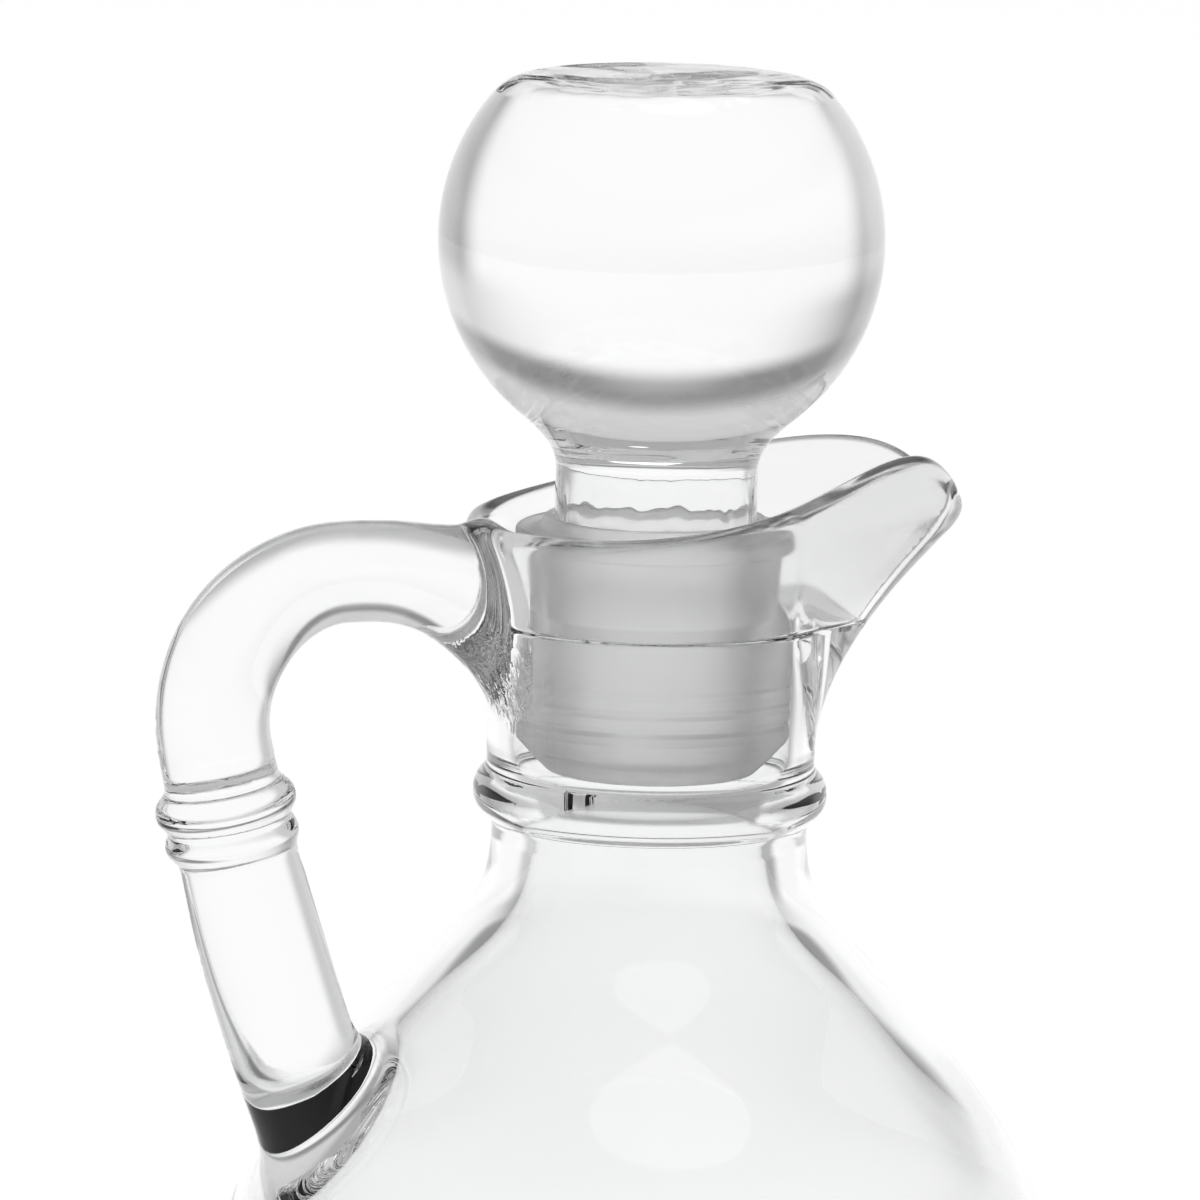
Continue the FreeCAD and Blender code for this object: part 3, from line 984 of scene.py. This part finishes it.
def sleeve_material():
    """Milky soft plastic, which lets light through but no picture."""
    material, nodes, links = new_material("milky_plastic")
    shader = nodes["Principled BSDF"]
    clouds = noise(nodes, links, 220, 3.0)
    tint = nodes.new("ShaderNodeMix")
    tint.data_type = "RGBA"
    tint.inputs["A"].default_value = PLASTIC_DARKER
    tint.inputs["B"].default_value = PLASTIC_PALER
    links.new(ranged(nodes, links, clouds, 0.0, 1.0), tint.inputs["Factor"])
    links.new(tint.outputs["Result"], shader.inputs["Base Color"])
    links.new(ranged(nodes, links, clouds, *PLASTIC_ROUGHNESS), shader.inputs["Roughness"])
    shader.inputs["IOR"].default_value = 1.3
    shader.inputs["Transmission Weight"].default_value = 0.97
    grain = noise(nodes, links, 1500, 2.0)
    links.new(bump(nodes, links, grain, 0.25, 0.0001), shader.inputs["Normal"])
    return material


# ---- studio -------------------------------------------------------------------------------

CAMERA_AZIMUTH = math.radians(-23)
CAMERA_ELEVATION = math.radians(9.4)
CAMERA_ROLL = math.radians(-1.2)
CAMERA_DISTANCE = 1.1
CAMERA_TARGET = (0, 0, (BEAD_Z + 18) * MM)
CAMERA_SHIFT = (-0.005, -0.0003)
SENSOR = 36.0
LENS = 356.4
BEHIND = Vector((-math.sin(CAMERA_AZIMUTH), math.cos(CAMERA_AZIMUTH), 0))
RIGHT = Vector((math.cos(CAMERA_AZIMUTH), math.sin(CAMERA_AZIMUTH), 0))


def make_camera():
    """The camera, looking at its target from its azimuth and elevation, with a slight roll."""
    back = Vector((
        math.sin(CAMERA_AZIMUTH) * math.cos(CAMERA_ELEVATION),
        -math.cos(CAMERA_AZIMUTH) * math.cos(CAMERA_ELEVATION),
        math.sin(CAMERA_ELEVATION),
    ))
    upright = back.cross(RIGHT)
    right = RIGHT * math.cos(CAMERA_ROLL) - upright * math.sin(CAMERA_ROLL)
    up = upright * math.cos(CAMERA_ROLL) + RIGHT * math.sin(CAMERA_ROLL)
    target = Vector(CAMERA_TARGET) + right * CAMERA_SHIFT[0] + up * CAMERA_SHIFT[1]
    place = Matrix((right, up, back)).transposed().to_4x4()
    place.translation = target + back * CAMERA_DISTANCE
    data = bpy.data.cameras.new("camera")
    data.sensor_width = SENSOR
    data.lens = LENS
    data.clip_start = 0.05
    data.clip_end = 30
    camera = bpy.data.objects.new("camera", data)
    camera.matrix_world = place
    bpy.context.scene.collection.objects.link(camera)
    bpy.context.scene.camera = camera


# Brightness of the surroundings by direction. They were set by trial, for the greys that the
# glass shows when it is seen from the camera's side.
WHITE = 1.02
RIGHT_GREY = 0.68
LEFT_GREY = 0.38
GAP_MIDDLE = 0.58
GAP_SIDE = 0.27
UPPER_BEHIND = 0.68
DOME = 0.42
FAN_EDGE = (0.58, 0.76)
WALL_EDGE = (0.55, 0.985)
LOW_LEFT_GREY = 0.62
LOW_RIGHT_GREY = 0.45
# Painted light on the floor: how strongly it glows to the right, to the left and in the fan behind
# the object, and how far out that glow starts.
FLOOR_PAINTED_LIGHT_RIGHT = 0.0
FLOOR_PAINTED_LIGHT_LEFT = 0.2
FLOOR_PAINTED_LIGHT_BEHIND = 0.595
FLOOR_PAINTED_LIGHT_START = (0.10, 0.20)
FLOOR_HALF_SIZE = 4.0
FLOOR_GREY = (0.8, 0.8, 0.8, 1)
FLOOR_GAP = 0.0005
GLASS_BOUNCES = 24
ACROSS = (-0.8, 0.8)


def facing(nodes, links, direction, axis):
    """How nearly a direction points along an axis, from -1 to 1."""
    unit = nodes.new("ShaderNodeVectorMath")
    unit.operation = "NORMALIZE"
    links.new(direction, unit.inputs[0])
    toward = nodes.new("ShaderNodeVectorMath")
    toward.operation = "DOT_PRODUCT"
    toward.inputs[1].default_value = axis
    links.new(unit.outputs["Vector"], toward.inputs[0])
    return toward.outputs["Value"]


def make_floor():
    """A pale floor with a painted pool of light: it glows in a wide fan behind the object."""
    size = FLOOR_HALF_SIZE
    corners = [(-size, -size, 0), (size, -size, 0), (size, size, 0), (-size, size, 0)]
    mesh = bpy.data.meshes.new("floor")
    mesh.from_pydata(corners, [], [(0, 1, 2, 3)])
    floor = bpy.data.objects.new("floor", mesh)
    floor.location.z = -FLOOR_GAP
    bpy.context.scene.collection.objects.link(floor)
    material, nodes, links = new_material("pale_floor")
    shader = nodes["Principled BSDF"]
    shader.inputs["Base Color"].default_value = FLOOR_GREY
    shader.inputs["Roughness"].default_value = 0.9
    shader.inputs["Specular IOR Level"].default_value = 0.1
    # Painted light: the floor glows in a pool behind the object, and a little towards its left.
    shader.inputs["Emission Color"].default_value = (1, 1, 1, 1)
    place = nodes.new("ShaderNodeTexCoord").outputs["Object"]
    fan = ranged(nodes, links, facing(nodes, links, place, BEHIND), 0.0, 1.0, *FAN_EDGE)
    across = facing(nodes, links, place, RIGHT)
    sides = ranged(nodes, links, across, FLOOR_PAINTED_LIGHT_LEFT, FLOOR_PAINTED_LIGHT_RIGHT, *ACROSS)
    distance = nodes.new("ShaderNodeVectorMath")
    distance.operation = "LENGTH"
    links.new(place, distance.inputs[0])
    away = ranged(nodes, links, distance.outputs["Value"], 0.0, 1.0, *FLOOR_PAINTED_LIGHT_START)
    painted_pool = mixed(nodes, links, maths(nodes, links, "MULTIPLY", fan, away), sides, FLOOR_PAINTED_LIGHT_BEHIND)
    links.new(painted_pool, shader.inputs["Emission Strength"])
    mesh.materials.append(material)


def area_light(name, place, toward, size, power):
    """A soft round lamp that faces a point."""
    data = bpy.data.lights.new(name, "AREA")
    data.shape = "DISK"
    data.size = size
    data.energy = power
    light = bpy.data.objects.new(name, data)
    light.location = place
    light.rotation_euler = (Vector(toward) - Vector(place)).to_track_quat("-Z", "Y").to_euler()
    bpy.context.scene.collection.objects.link(light)


def make_world():
    """Soft studio surroundings: a white wall of light behind the object, grey round the rest."""
    world = bpy.data.worlds.new("studio")
    world.use_nodes = True
    nodes, links = world.node_tree.nodes, world.node_tree.links
    direction = nodes.new("ShaderNodeTexCoord").outputs["Generated"]
    toward = facing(nodes, links, direction, BEHIND)
    split = nodes.new("ShaderNodeSeparateXYZ")
    links.new(direction, split.inputs["Vector"])
    height = split.outputs["Z"]
    across = facing(nodes, links, direction, RIGHT)
    above = ranged(nodes, links, height, 0.0, 1.0, 0.0, 0.15)
    side_low = ranged(nodes, links, across, LOW_LEFT_GREY, LOW_RIGHT_GREY, *ACROSS)
    side_high = ranged(nodes, links, across, LEFT_GREY, RIGHT_GREY, *ACROSS)
    sides = mixed(nodes, links, above, side_low, side_high)
    fan = ranged(nodes, links, toward, 0.0, 1.0, *FAN_EDGE)
    wall = ranged(nodes, links, toward, 0.0, 1.0, *WALL_EDGE)
    level = mixed(nodes, links, mixed(nodes, links, above, fan, wall), sides, WHITE)
    gap = ranged(nodes, links, toward, GAP_SIDE, GAP_MIDDLE, 0.88, 0.98)
    upper = ranged(nodes, links, toward, DOME, UPPER_BEHIND, 0.2, 0.6)
    lower = mixed(nodes, links, ranged(nodes, links, height, 0.0, 1.0, 0.27, 0.37), level, gap)
    whole = mixed(nodes, links, ranged(nodes, links, height, 0.0, 1.0, 0.42, 0.56), lower, upper)
    background = nodes["Background"]
    links.new(whole, background.inputs["Strength"])
    background.inputs["Color"].default_value = (1, 1, 1, 1)
    bpy.context.scene.world = world


def make_studio():
    """Camera, floor, surroundings and lamp, with enough bounces for light through thick glass."""
    make_camera()
    make_floor()
    make_world()
    area_light("overhead_softbox", (0.15, 0.1, 1.5), (0, 0, 0.1), size=0.9, power=2.0)
    scene = bpy.context.scene
    scene.view_settings.view_transform = "Standard"
    scene.cycles.max_bounces = GLASS_BOUNCES
    scene.cycles.transmission_bounces = GLASS_BOUNCES
    scene.cycles.glossy_bounces = 12
    scene.cycles.sample_clamp_indirect = 6


make_studio()
bottle = make_bottle()
knob, sleeve = make_stopper()
bottle.data.materials.append(bottle_material())
knob.data.materials.append(knob_material())
sleeve.data.materials.append(sleeve_material())
